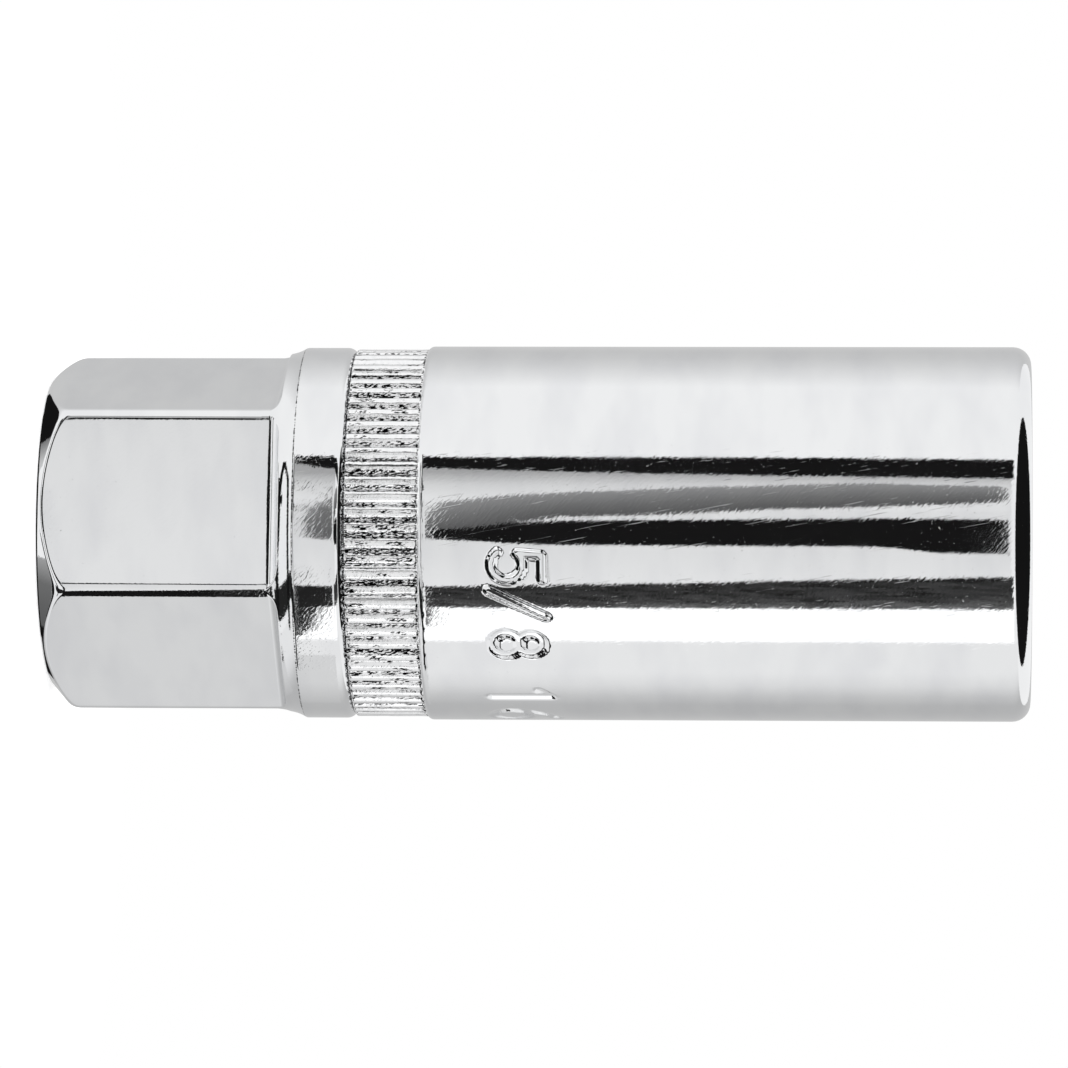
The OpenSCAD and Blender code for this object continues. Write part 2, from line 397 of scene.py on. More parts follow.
# %% Plug end
INNER_COLUMNS = 144
PLUG_H = 16.12 / 2
PLUG_CORNER_R = 0.25
PLUG_HEIGHTS = np.array([[62.5], [56.0], [50.0]])
LEAD_R = 19.2 / 2
LEAD_L = 1.5
END_LAND = 0.4
GROOVE_R = 9.457
GROOVE_TOP = 49.0
GROOVE_Z = 46.0
BORE_R = 15.6 / 2
BORE_HEIGHTS = np.array([[40.0], [28.0]])
inner_theta = 2 * np.pi * np.arange(INNER_COLUMNS) / INNER_COLUMNS
inner_row = np.ones((1, INNER_COLUMNS))
plug_r = polygon_r(inner_theta, sides=6, apothem=PLUG_H, corner_r=PLUG_CORNER_R, first_flat=30)
LEAD_IN = unit((PLUG_H - LEAD_R) - 1j * LEAD_L)
lead_z = LENGTH - LEAD_L + (plug_r - PLUG_H) * LEAD_L / (LEAD_R - PLUG_H)
plug_rows = np.vstack([
    (LEAD_R + END_LAND + 1j * LENGTH) * inner_row,
    bend((LEAD_R + 1j * LENGTH) * inner_row, IN, LEAD_IN, reach=0.12, steps=5),
    bend(plug_r + 1j * lead_z, LEAD_IN, DOWN, reach=0.16, steps=5),
    plug_r + 1j * PLUG_HEIGHTS,
    bend(plug_r + 1j * GROOVE_TOP, DOWN, OUT, reach=0.1, steps=4),
    bend((GROOVE_R + 1j * GROOVE_TOP) * inner_row, OUT, DOWN, reach=0.04, steps=3),
    bend((GROOVE_R + 1j * GROOVE_Z) * inner_row, DOWN, IN, reach=0.1, steps=3),
    bend((BORE_R + 1j * GROOVE_Z) * inner_row, IN, DOWN, reach=0.15, steps=4),
    BORE_R + 1j * BORE_HEIGHTS * inner_row,
])
print(f"the lead-in's edge runs from {lead_z.min():.2f} to {lead_z.max():.2f} mm")

# %% Drive end
BORE_Z = 18.5
NECK_R = 11.0 / 2
DRIVE_H = 12.8 / 2
DRIVE_DEPTH = 16.0
DRIVE_CORNER_R = 0.8
SINK_R = 15.0 / 2
DIMPLE_Z = 8.0
DIMPLE_R = 4.6 / 2
DIMPLE_DEPTH = 0.9
WALL_HIGH, DIMPLE_HIGH, DIMPLE_LOW, WALL_LOW = 12.0, 10.6, 5.4, 3.0
square_r = polygon_r(inner_theta, sides=4, apothem=DRIVE_H, corner_r=DRIVE_CORNER_R, first_flat=0)
from_wall = (inner_theta + np.pi / 4) % (np.pi / 2) - np.pi / 4
ball_r = (DIMPLE_R**2 + DIMPLE_DEPTH**2) / (2 * DIMPLE_DEPTH)
wall_z = np.vstack([WALL_HIGH, rising(DIMPLE_HIGH, DIMPLE_LOW, 12), WALL_LOW])
off_centre = (DRIVE_H * np.tan(from_wall)) ** 2 + (wall_z - DIMPLE_Z) ** 2
dimple = np.sqrt(np.maximum(ball_r**2 - off_centre, 0)) - (ball_r - DIMPLE_DEPTH)
wall_r = square_r + np.maximum(dimple, 0) / np.cos(from_wall)
print(f"each dimple is {dimple.max():.2f} mm deep")

# %% Rows of the drive end
# The last four rows soften the two edges of the countersink: a step above and a step past each.
EDGE_ABOVE, EDGE_PAST = 0.12j, 0.03 + 0.03j
RIM_ABOVE, RIM_PAST = 0.05 + 0.012j, 0.14
sink_r = np.maximum(square_r, SINK_R)
sink_edge = square_r + 1j * (sink_r - square_r)
drive_rows = np.vstack([
    bend((BORE_R + 1j * BORE_Z) * inner_row, DOWN, IN, reach=0.3, steps=4),
    bend((NECK_R + 1j * BORE_Z) * inner_row, IN, DOWN, reach=0.2, steps=4),
    bend((NECK_R + 1j * DRIVE_DEPTH) * inner_row, DOWN, OUT, reach=0.2, steps=4),
    bend(square_r + 1j * DRIVE_DEPTH, OUT, DOWN, reach=0.1, steps=3),
    wall_r + 1j * wall_z,
    sink_edge + EDGE_ABOVE,
    sink_edge + EDGE_PAST,
    sink_r + RIM_ABOVE,
    sink_r + RIM_PAST,
])
inner_rows = np.vstack([plug_rows, drive_rows])
print(f"{len(inner_rows)} rows inside")

# %% [markdown]
# ## One closed skin
# The outside and the inside are two grids with different numbers of columns. Each end face joins
# them with a zipper of triangles: every edge of one rim takes the nearest point of the other.
# Smooth shading would smear a big flat face into its narrow rounded edge, so the normals are
# worked out here, weighted by the area of the faces, and handed to the mesh.


# %% Faces
def grid_faces(rows, columns, first, close_rows=False):
    """Quads of a grid of points numbered row by row from first, closed round the axis: each joins
    a point, the next in its row, and the two above those."""
    i = np.arange(rows if close_rows else rows - 1)[:, None]
    j = np.arange(columns)[None, :]
    low, high = first + i * columns, first + (i + 1) % rows * columns
    after = (j + 1) % columns
    return np.stack([low + j, low + after, high + after, high + j], axis=-1).reshape(-1, 4)


def zip_faces(low, low_count, high, high_count):
    """Triangles between two rims: each edge of the low rim with the point of the high rim at its
    angle, then each edge of the high rim with the point of the low rim at its angle."""
    i = np.arange(low_count)
    j = np.arange(high_count)
    tip = np.floor((i + 0.5) * high_count / low_count + 0.5).astype(int) % high_count
    foot = np.ceil((j + 0.5) * low_count / high_count - 0.5).astype(int) % low_count
    up = np.stack([low + i, low + (i + 1) % low_count, high + tip], axis=1)
    down = np.stack([high + (j + 1) % high_count, high + j, low + foot], axis=1)
    return np.vstack([up, down])


NO_TRIANGLES = np.zeros((0, 3), int)


# %% Points, normals and meshes
def section_points(angles, rows):
    """Places in space of section points: radius round the axis at each angle, and height."""
    x, y = rows.real * np.cos(angles), rows.real * np.sin(angles)
    return np.stack([x, y, rows.imag], axis=-1).reshape(-1, 3)


def area_normals(points, quads, triangles):
    """A normal for each point: the sum of the cross products of the triangles round it, so that a
    triangle counts by its area."""
    corners = np.vstack([quads[:, [0, 1, 2]], quads[:, [0, 2, 3]], triangles])
    a, b, c = (points[corners[:, k]] for k in range(3))
    cross = np.cross(b - a, c - a)
    normals = np.stack([
        sum(np.bincount(corners[:, k], cross[:, axis], len(points)) for k in range(3))
        for axis in range(3)
    ], axis=1)
    return normals / np.linalg.norm(normals, axis=1, keepdims=True)


def make_piece(name, points, quads, triangles, finishes, finish_of_face):
    """A mesh object from points in millimetres, with its faces' finishes and its own normals."""
    mesh = bpy.data.meshes.new(name)
    mesh.vertices.add(len(points))
    mesh.vertices.foreach_set("co", (points * MM).astype(np.float32).ravel())
    corners = np.concatenate([quads.ravel(), triangles.ravel()])
    mesh.loops.add(len(corners))
    mesh.loops.foreach_set("vertex_index", corners.astype(np.int32))
    mesh.polygons.add(len(quads) + len(triangles))
    starts = [4 * np.arange(len(quads)), quads.size + 3 * np.arange(len(triangles))]
    mesh.polygons.foreach_set("loop_start", np.concatenate(starts).astype(np.int32))
    for finish in finishes:
        mesh.materials.append(finish)
    mesh.polygons.foreach_set("material_index", np.asarray(finish_of_face, np.int32))
    mesh.update(calc_edges=True)
    mesh.validate()
    normals = area_normals(points, quads, triangles)
    mesh.normals_split_custom_set_from_vertices(normals.tolist())
    piece = bpy.data.objects.new(name, mesh)
    bpy.context.scene.collection.objects.link(piece)
    print(f"{name}: {len(points)} points, {2 * len(quads) + len(triangles)} triangles")
    return piece


# %% [markdown]
# ## Finishes
# Colours are written as they look, in sRGB hex, and turned to linear light once. Patterns are laid
# out in real millimetres. One small function adds a shader node, sets it and links it.


# %% Colour and node helpers
def linear(hex_colour):
    """An sRGB hex colour as linear light, by the sRGB curve: a straight foot, then a 2.4 power."""
    value = np.array([int(hex_colour[k : k + 2], 16) for k in (1, 3, 5)]) / 255
    light = np.where(value <= 0.04045, value / 12.92, ((value + 0.055) / 1.055) ** 2.4)
    return (*light.tolist(), 1.0)


def add_node(tree, kind, inputs=None, **settings):
    """A new node of that kind, with settings as attributes, and inputs set or linked by name."""
    node = tree.nodes.new(kind)
    for name, value in settings.items():
        setattr(node, name, value)
    for name, value in (inputs or {}).items():
        if isinstance(value, bpy.types.NodeSocket):
            tree.links.new(value, node.inputs[name])
        else:
            node.inputs[name].default_value = value
    return node


def new_finish(name):
    """A material with an empty node tree, and that tree."""
    finish = bpy.data.materials.new(name)
    finish.use_nodes = True
    finish.node_tree.nodes.clear()
    return finish, finish.node_tree


# %% [markdown]
# ## Marks on a surface
# Polishing hairs, scratches and specks are all the same thing at different sizes: noise, stretched
# and turned. A Mapping node of the texture kind first turns, then divides by the size of a mark in
# metres, so the sizes below are real ones. They could be painted as an image, but noise on Object
# coordinates needs no unwrapping and stays sharp at any size.

# %% Stretched noise
TO_CAMERA = Vector((np.cos(VIEW_ANGLE), np.sin(VIEW_ANGLE), 0))


def marks(tree, across, along, tilt, low, high):
    """Stretched noise in a frame that is tilted, in degrees, about the line to the camera: across
    and along are the size of one mark in millimetres, and the noise between low and high is
    spread from 0 to 1."""
    place = add_node(tree, "ShaderNodeTexCoord").outputs["Object"]
    laid = add_node(tree, "ShaderNodeMapping", {
        "Vector": place,
        "Rotation": Matrix.Rotation(tilt * DEG, 3, TO_CAMERA).to_euler(),
        "Scale": (along * MM, along * MM, across * MM),
    }, vector_type="TEXTURE")
    noise = add_node(tree, "ShaderNodeTexNoise", {
        "Vector": laid.outputs[0], "Scale": 1.0, "Detail": 2.0})
    between_ends = {"Value": noise.outputs["Fac"], "From Min": low, "From Max": high}
    return add_node(tree, "ShaderNodeMapRange", between_ends).outputs["Result"]


# %% [markdown]
# ## Chrome plate
# The steel was ground, polished, then plated with nickel and a thin layer of chromium. The eye
# gets a near-white mirror, in which the polishing shows as fine slanted hairs along the edges of
# each reflection, with a few long scratches and some pin-prick specks. All are shallow relief, so
# they are bump, one over the other. Painted shade is a black that covers the mirror where the mesh
# says so, standing in for the shade and dark reflections in the grooves.

# %% A chrome finish
# Painted shade: the black laid over the chrome where shade and dark reflections fall, and the grains it is
# broken into.
PAINTED_SHADE_COLOUR = "#060607"
SHADE_GRAINS = (0.30, 0.09, 12, 0.42, 0.56)
SHADE_FROM, SHADE_FULL = 0.22, 0.32


def chrome(name, colours, roughness, spots, relief, paints_shade):
    """A chrome finish: relief is a list of (mark height in millimetres, marks arguments), laid one
    over the other as bump; spots are where the colour and roughness go from their first value to
    their second. A finish that paints shade lays black over its colour, in broken grains, where the
    mesh's hollow attribute says so: painted shade and painted dark reflections in the grooves."""
    finish, tree = new_finish(name)
    normal = None
    for height, shape in relief:
        laid = {"Height": marks(tree, *shape), "Strength": 1.0, "Distance": height * MM}
        if normal is not None:
            laid["Normal"] = normal
        normal = add_node(tree, "ShaderNodeBump", laid).outputs["Normal"]
    spot = marks(tree, *spots)
    dull = add_node(tree, "ShaderNodeMapRange", {
        "Value": spot, "To Min": roughness[0], "To Max": roughness[1]})
    colour = add_node(tree, "ShaderNodeMix", {
        "Factor": spot, "A": linear(colours[0]), "B": linear(colours[1])}, data_type="RGBA").outputs[2]
    # Painted shade: black over the colour by the hollow attribute, for the shade and dark reflections in
    # the grooves.
    if paints_shade:
        share = add_node(tree, "ShaderNodeAttribute", attribute_name="hollow").outputs["Fac"]
        grains = add_node(tree, "ShaderNodeMath", {
            0: share, 1: marks(tree, *SHADE_GRAINS)}, operation="MULTIPLY")
        black = add_node(tree, "ShaderNodeMapRange", {
            "Value": grains.outputs[0], "From Min": SHADE_FROM, "From Max": SHADE_FULL})
        colour = add_node(tree, "ShaderNodeMix", {
            "Factor": black.outputs["Result"], "A": colour, "B": linear(PAINTED_SHADE_COLOUR),
        }, data_type="RGBA").outputs[2]
    surface = add_node(tree, "ShaderNodeBsdfPrincipled", {
        "Base Color": colour, "Metallic": 1.0,
        "Roughness": dull.outputs["Result"], "Normal": normal})
    add_node(tree, "ShaderNodeOutputMaterial", {"Surface": surface.outputs[0]})
    return finish


# %% [markdown]
# ## Four ways to make chrome
# The barrel was polished on soft wheels, which leave hairs, scratches and specks. The flats were
# polished on a belt: flatter and cleaner, so their reflections are calm. The knurl is too rough to
# polish, so its plate is white and sparkling, with ripples from the wheel. In the bore no polish
# reached at all: the plate is thin, grey and dull, with rings from the drill.

# %% Chrome finishes
# A plate is two colours, two roughnesses and the spots where one goes over into the other. Relief
# is mark height in mm, then size across and along in mm, tilt, and the noise's low and high.
MIRROR = ("#EDEEEF", "#E6E7E9"), (0.03, 0.06), (2.5, 6, 0, 0.4, 0.7)
WAVES = (0.0012, (1.6, 4.0, -25, 0.2, 0.8))
HAIRS = (0.0014, (0.50, 0.15, 48, 0.45, 0.85))
SCRATCHES = (0.0012, (8.0, 0.11, 11, 0.66, 0.78))
SPECKS = (0.0040, (0.15, 0.15, 0, 0.73, 0.83))
FAINT_HAIRS = (0.0008, (0.50, 0.15, 48, 0.45, 0.85))
FEW_SPECKS = (0.0030, (0.15, 0.15, 0, 0.77, 0.87))
RIPPLES = (0.0032, (0.7, 0.12, 0, 0.3, 0.75))
SPARKLE = (0.0022, (0.16, 0.12, 35, 0.4, 0.8))
DRILL_RINGS = (0.0060, (0.12, 3.0, 0, 0.3, 0.8))
KNURL_PLATE = ("#FAFAFB", "#F2F3F4"), (0.05, 0.12), (0.3, 0.5, 0, 0.3, 0.7)
BORE_PLATE = ("#B4B6B9", "#94979B"), (0.22, 0.36), (1.2, 3, 0, 0.3, 0.7)
body_finishes = [
    chrome("polished_chrome_plate", *MIRROR, [WAVES, HAIRS, SCRATCHES, SPECKS], paints_shade=True),
    chrome("knurled_chrome_plate", *KNURL_PLATE, [RIPPLES, SPARKLE], paints_shade=True),
    chrome("dull_chrome_bore", *BORE_PLATE, [DRILL_RINGS], paints_shade=False),
    chrome("belt_polished_chrome_flats", *MIRROR, [WAVES, FAINT_HAIRS, FEW_SPECKS], paints_shade=False),
]
POLISHED, KNURLED, BORE, FLATS = range(len(body_finishes))
print("chrome finishes:", [finish.name for finish in body_finishes])

# %% [markdown]
# ## The body
# The two grids and the two zippers make one closed skin. Each face takes its finish by its row:
# the flats with their hollows, the knurled band with the end of the collar's rim, the inside, and
# the polished rest. One mesh with four finishes has no seams between them.

# %% The body's skin
RIM_IN_BAND = 3
INNER_START = outer_rows.size
inner_last = INNER_START + inner_rows.size - INNER_COLUMNS
body_points = np.vstack([
    section_points(outer_theta, outer_rows),
    section_points(inner_theta[None, :], inner_rows),
])
body_quads = np.vstack([
    grid_faces(len(outer_rows), COLUMNS, 0),
    grid_faces(len(inner_rows), INNER_COLUMNS, INNER_START),
])
body_triangles = np.vstack([
    zip_faces(INNER_START - COLUMNS, COLUMNS, INNER_START, INNER_COLUMNS),
    zip_faces(inner_last, INNER_COLUMNS, 0, COLUMNS),
])
quad_row = np.arange((len(outer_rows) - 1) * COLUMNS) // COLUMNS
before_band = sum(len(rows) for _, rows in outer_sets[:3])
after_band = before_band + sum(len(rows) for _, rows in outer_sets[3:5]) + len(band_end_rows)
in_band = (quad_row >= before_band - RIM_IN_BAND) & (quad_row <= after_band)
on_flats = quad_row < len(drive_end_rows) + len(hollow_rows)
finish_of_face = np.concatenate([
    np.select([in_band, on_flats], [KNURLED, FLATS], POLISHED),
    np.full(len(body_quads) - len(quad_row), BORE),
    np.full(len(body_triangles), POLISHED),
])
body = make_piece("socket_body_skin", body_points, body_quads, body_triangles,
                  body_finishes, finish_of_face)

# %% [markdown]
# ## Painted shade
# Black is painted where shade and dark reflections fall on the knurl: at the roots of its grooves, at
# both ends of the band and in a fine line round the edge of the collar. Some ridges get more than
# others, and the tops get a little here and there as painted dark reflections, by a fixed seed of
# their own. The share of painted shade is stored on the mesh, as an attribute called hollow, and the
# finish breaks it into grains.

# %% Painted shade in the hollows
LINE_Z, LINE_HALF, LINE_SHADE = 16.985, 0.03, 0.7
COLLAR_END_SHADE, BARREL_END_SHADE = 0.8, 0.45
RIDGE_TOP, TOP_SHADE, TOP_POWER = (4, 5), 0.6, 3
RIDGE_SPREAD, ROW_SPREAD = (0.25, 1.2), (0.5, 0.9)
SHADED_RIM = 2
shaded_rows = slice(before_band - SHADED_RIM, after_band)
shade_size = (after_band - before_band + SHADED_RIM, KNURL_COUNT)
shade_seed = np.random.default_rng(828)
ridge_share = shade_seed.uniform(*RIDGE_SPREAD, (1, KNURL_COUNT)) * shade_seed.uniform(*ROW_SPREAD, shade_size)
groove_shade = np.repeat(ridge_share, COLUMNS_PER_RIDGE, axis=1)
top_share = shade_seed.uniform(0, 1, shade_size) ** TOP_POWER
ridge_top_shade = np.repeat(top_share, COLUMNS_PER_RIDGE, axis=1)
on_top = np.tile(np.isin(np.arange(COLUMNS_PER_RIDGE), RIDGE_TOP), KNURL_COUNT)
depth_share = ((KNURL_R - outer_rows[shaded_rows].real) / KNURL_DEPTH).clip(0, 1)
# Painted shade: more black the deeper in a groove, plus some painted dark reflections on ridge tops.
painted_shade = np.zeros(outer_rows.shape)
painted_shade[shaded_rows] = np.sqrt(depth_share) * groove_shade + TOP_SHADE * ridge_top_shade * on_top
band_start = slice(before_band - 1, before_band + 2)
painted_shade[band_start] = np.maximum(painted_shade[band_start], COLLAR_END_SHADE)
painted_shade[after_band - 1] = np.maximum(painted_shade[after_band - 1], BARREL_END_SHADE)
painted_shade[np.abs(outer_rows.imag - LINE_Z) < LINE_HALF] = LINE_SHADE
# The hollow attribute carries the share of painted shade.
shade_share = np.concatenate([painted_shade.ravel(), np.zeros(inner_rows.size)]).astype(np.float32)
body.data.attributes.new("hollow", "FLOAT", "POINT").data.foreach_set("value", shade_share)
print(f"grime lies on {np.mean(painted_shade[shaded_rows] > SHADE_FULL):.2f} of the knurled band")
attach(body, "root")
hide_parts("socket_body")

# %% [markdown]
# ## The rubber bush
# Behind the hexagon a moulded rubber bush grips the plug's insulator, so that the plug comes out
# with the socket. It is a ring with a flange and a funnel, so its section is a closed loop. The Screw
# modifier could spin it; a grid that closes both ways does the same and carries its own normals.
# The mould left soft edges everywhere.

# %% Bush skin
BUSH_COLUMNS = 144
BUSH_TOP = bush_high.z / MM
BUSH_FOOT = bush_low.z / MM
FLANGE_R = min(bush_high.x, bush_high.y) / MM
BUSH_CLEAR = 0.05
BUSH_R = BORE_R - BUSH_CLEAR
BUSH_HEIGHTS = np.array([[38.0], [42.0]])
GRIP_R = 10.0 / 2
GRIP_HEIGHTS = np.array([[41.0], [37.0]])
FUNNEL_R = 13.6 / 2
FUNNEL_L = 4.0
BUSH_CHAMFER = 0.8
SLANT = unit(OUT + UP)
FUNNEL = unit(GRIP_R - FUNNEL_R - 1j * FUNNEL_L)
bush_row = np.ones((1, BUSH_COLUMNS))
chamfer_foot = BUSH_R - BUSH_CHAMFER + 1j * BUSH_FOOT
chamfer_end = BUSH_R + 1j * (BUSH_FOOT + BUSH_CHAMFER)
bush_rows = np.vstack([
    bend((GRIP_R + 1j * BUSH_FOOT) * bush_row, DOWN, OUT, reach=0.3, steps=5),
    bend(chamfer_foot * bush_row, OUT, SLANT, reach=0.25, steps=4),
    bend(chamfer_end * bush_row, SLANT, UP, reach=0.25, steps=4),
    BUSH_R + 1j * BUSH_HEIGHTS * bush_row,
    bend((BUSH_R + 1j * GROOVE_Z) * bush_row, UP, OUT, reach=0.12, steps=3),
    bend((FLANGE_R + 1j * GROOVE_Z) * bush_row, OUT, UP, reach=0.25, steps=5),
    bend((FLANGE_R + 1j * BUSH_TOP) * bush_row, UP, IN, reach=0.35, steps=6),
    bend((FUNNEL_R + 1j * BUSH_TOP) * bush_row, IN, FUNNEL, reach=0.45, steps=7),
    bend((GRIP_R + 1j * (BUSH_TOP - FUNNEL_L)) * bush_row, FUNNEL, DOWN, reach=0.6, steps=6),
    GRIP_R + 1j * GRIP_HEIGHTS * bush_row,
])
bush_theta = 2 * np.pi * np.arange(BUSH_COLUMNS)[None, :] / BUSH_COLUMNS
bush_points = section_points(bush_theta, bush_rows)
bush_quads = grid_faces(len(bush_rows), BUSH_COLUMNS, 0, close_rows=True)
print(f"bush from {BUSH_FOOT:.1f} to {BUSH_TOP:.1f} mm, {len(bush_rows)} rows")

# %% [markdown]
# ## Moulded rubber
# Black nitrile rubber from a grit-blasted mould: a soft, nearly matt black with a fine grain and
# a faint grey bloom. The grain is drawn at a quarter of a millimetre so that it shows.

# %% Bush in rubber
GRAIN = (0.25, 0.25, 0, 0.3, 0.7)
GRAIN_DEPTH = 0.02
BLOOM = (2.0, 2.0, 0, 0.4, 0.7)
rubber, tree = new_finish("moulded_black_rubber")
grain = marks(tree, *GRAIN)
bloom = add_node(tree, "ShaderNodeMix", {
    "Factor": marks(tree, *BLOOM), "A": linear("#1B1B1C"), "B": linear("#2B2B2C")}, data_type="RGBA")
skin = add_node(tree, "ShaderNodeBump", {
    "Height": grain, "Strength": 1.0, "Distance": GRAIN_DEPTH * MM})
surface = add_node(tree, "ShaderNodeBsdfPrincipled", {
    "Base Color": bloom.outputs[2], "Roughness": 0.62, "Specular IOR Level": 0.4,
    "Normal": skin.outputs["Normal"]})
add_node(tree, "ShaderNodeOutputMaterial", {"Surface": surface.outputs[0]})
bush = make_piece("rubber_bush_skin", bush_points, bush_quads, NO_TRIANGLES,
                  [rubber], np.zeros(len(bush_quads)))
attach(bush, "root")
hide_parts("rubber_bush")

# %% [markdown]
# ## Camera
# The socket stands on its drive end, and the picture shows it lying on its side, so the camera is
# turned a quarter round its own line of sight: the axis runs from left to right. A long lens from
# far off keeps the two ends nearly the same size. It comes before the studio, because what a mirror
# shows depends on where the eye is.

# %% Camera at the picture's angle
CAMERA_FAR = 480.0
CAMERA_Z = 59.5
AIM_Z = 32.06
FIELD = 71.0
DROP = 0.05
LEAN = 0.15 * DEG
drop = Vector((-np.sin(VIEW_ANGLE), np.cos(VIEW_ANGLE), 0)) * DROP
aim = (drop + Vector((0, 0, AIM_Z))) * MM
eye = (drop + TO_CAMERA * CAMERA_FAR + Vector((0, 0, CAMERA_Z))) * MM
back = (eye - aim).normalized()
level = (Vector((0, 0, 1)) - back * back.z).normalized()
right = level * np.cos(LEAN) + back.cross(level) * np.sin(LEAN)
camera_data = bpy.data.cameras.new("camera")
camera_data.lens = camera_data.sensor_width * (eye - aim).length / (FIELD * MM)
camera = bpy.data.objects.new("camera", camera_data)
studio = bpy.context.scene
studio.collection.objects.link(camera)
turned = Matrix((right, back.cross(right), back)).transposed().to_4x4()
camera.matrix_world = Matrix.Translation(eye) @ turned
studio.camera = camera
print(f"lens {camera_data.lens:.0f} mm, {CAMERA_FAR:.0f} mm away")

# %% [markdown]
# ## Studio
# A mirror shows its surroundings, so the studio is built for the chrome: an even white room, a pale
# floor, grey cards, black flags and a soft box. The floor is see-through to reflections, so that the
# drive end can be lit from below, and it fades out towards its edge.

# %% White room
studio.view_settings.view_transform = "Standard"
studio.world = bpy.data.worlds.new("white_room")
studio.world.use_nodes = True
room = studio.world.node_tree.nodes["Background"].inputs
room["Color"].default_value = (1, 1, 1, 1)
room["Strength"].default_value = 1.0
print("world:", studio.world.name)

# %% Pale floor
FLOOR_R = 45.0
FLOOR_FADE = 16.0
FLOOR_DROP = 0.02
FLOOR_LIFT = 0.55
floor_rows = rising(FLOOR_R, 0.5, 12) * inner_row - 1j * FLOOR_DROP
floor_finish, tree = new_finish("pale_floor")
ray = add_node(tree, "ShaderNodeLightPath").outputs
seen = add_node(tree, "ShaderNodeMath", {
    0: ray["Is Camera Ray"], 1: ray["Is Transmission Ray"]}, operation="MAXIMUM").outputs[0]
lift = add_node(tree, "ShaderNodeMath", {0: seen, 1: FLOOR_LIFT}, operation="MULTIPLY").outputs[0]
paper = add_node(tree, "ShaderNodeBsdfPrincipled", {
    "Base Color": linear("#F2F2F2"), "Roughness": 0.9, "Specular IOR Level": 0.0,
    "Emission Color": (1, 1, 1, 1), "Emission Strength": lift})
place = add_node(tree, "ShaderNodeTexCoord").outputs["Object"]
reach = add_node(tree, "ShaderNodeVectorMath", {0: place}, operation="LENGTH").outputs["Value"]
fade = add_node(tree, "ShaderNodeMapRange", {
    "Value": reach, "From Min": FLOOR_FADE * MM, "From Max": FLOOR_R * MM}).outputs["Result"]
see_through = add_node(tree, "ShaderNodeMath", {
    0: fade, 1: ray["Is Glossy Ray"]}, operation="MAXIMUM").outputs[0]
clear = add_node(tree, "ShaderNodeBsdfTransparent")
mixed = add_node(tree, "ShaderNodeMixShader", {
    0: see_through, 1: paper.outputs[0], 2: clear.outputs[0]})
add_node(tree, "ShaderNodeOutputMaterial", {"Surface": mixed.outputs[0]})
floor_quads = grid_faces(len(floor_rows), INNER_COLUMNS, 0)
floor = make_piece("floor", section_points(inner_theta[None, :], floor_rows), floor_quads,
                   NO_TRIANGLES, [floor_finish], np.zeros(len(floor_quads)))

# %% [markdown]
# ## Cards
# A card is a grid of points with a light of its own at each, and only reflections see it. Lamps
# would give round highlights; a glowing card gives the clean bands that polished chrome is known
# by. Its edges are lists of values, so that a band can widen, taper or lean along the body.

# %% Card helpers
CARD_STEPS = 85
STREAK = 5
BLACK = [0.008]
AXIS = np.array((0, 0, 1))
card_finish, tree = new_finish("studio_card")
glow = add_node(tree, "ShaderNodeAttribute", attribute_name="glow").outputs["Fac"]
shine = add_node(tree, "ShaderNodeEmission", {"Strength": glow})
add_node(tree, "ShaderNodeOutputMaterial", {"Surface": shine.outputs[0]})
shares = np.linspace(0, 1, CARD_STEPS)
up_share, across_share = np.meshgrid(shares, shares, indexing="ij")
first_corner = (np.arange(CARD_STEPS - 1)[:, None] * CARD_STEPS + np.arange(CARD_STEPS - 1)).ravel()
card_quads = first_corner[:, None] + np.array([0, 1, CARD_STEPS + 1, CARD_STEPS])


def spread(values, share):
    """Values at equal steps, read at a share from 0 to 1 by straight lines between them."""
    return np.interp(share, np.linspace(0, 1, len(values)), values)


def between(low, high):
    """From the low edge to the high edge of a card across it, each edge a list of values up it."""
    return spread(low, up_share) * (1 - across_share) + spread(high, up_share) * across_share


def make_card(name, points, light, cloth=0.0):
    """A studio card from a square grid of points in millimetres, hidden from camera, diffuse and
    shadow rays. Its light goes from the first to the last value across it. Cloth is how much that
    light varies at random, in streaks that are STREAK steps wide."""
    mesh = bpy.data.meshes.new(name)
    mesh.from_pydata((points.reshape(-1, 3) * MM).tolist(), [], card_quads.tolist())
    weave = np.random.default_rng(5).uniform(-1, 1, (CARD_STEPS, CARD_STEPS // STREAK))
    lit = spread(light, across_share) * (1 + cloth * np.repeat(weave, STREAK, axis=1))
    glow_here = mesh.attributes.new("glow", "FLOAT", "POINT").data
    glow_here.foreach_set("value", lit.astype(np.float32).ravel())
    mesh.materials.append(card_finish)
    card = bpy.data.objects.new(name, mesh)
    studio.collection.objects.link(card)
    card.visible_camera = card.visible_diffuse = card.visible_shadow = False


# %% Directions and mirrors
EYE = np.array(eye) / MM


def outward(turn):
    """Level unit vectors at angles, in degrees, from the line to the camera, positive towards the
    top of the picture."""
    angle = VIEW_ANGLE - turn * DEG
    return np.stack([np.cos(angle), np.sin(angle), 0 * angle], axis=-1)


def facing_at(turn, tilt):
    """Unit normals at a turn from the camera's line and a tilt above level, both in degrees."""
    level_part = np.cos(tilt * DEG)[..., None] * outward(turn)
    return level_part + np.sin(tilt * DEG)[..., None] * AXIS


def seen_in(points, normals, far):
    """Where a card has to be for the camera to see it in a mirror: the line to the camera is turned
    about the normal, which is twice the normal times its share of the line, less the line. The card
    is at a distance far along that."""
    line = EYE - points
    line = line / np.linalg.norm(line, axis=-1, keepdims=True)
    share = np.sum(line * normals, axis=-1, keepdims=True)
    return points + far * (2 * share * normals - line)


# %% [markdown]
# ## Walls of the studio
# Large cards stand in a ring round the axis: a fill in front, a soft box below the middle of the
# picture and a grey wall behind, which shades the body's upper and lower sides. Two black flags low
# in the ring draw the thin dark outlines of the flats.

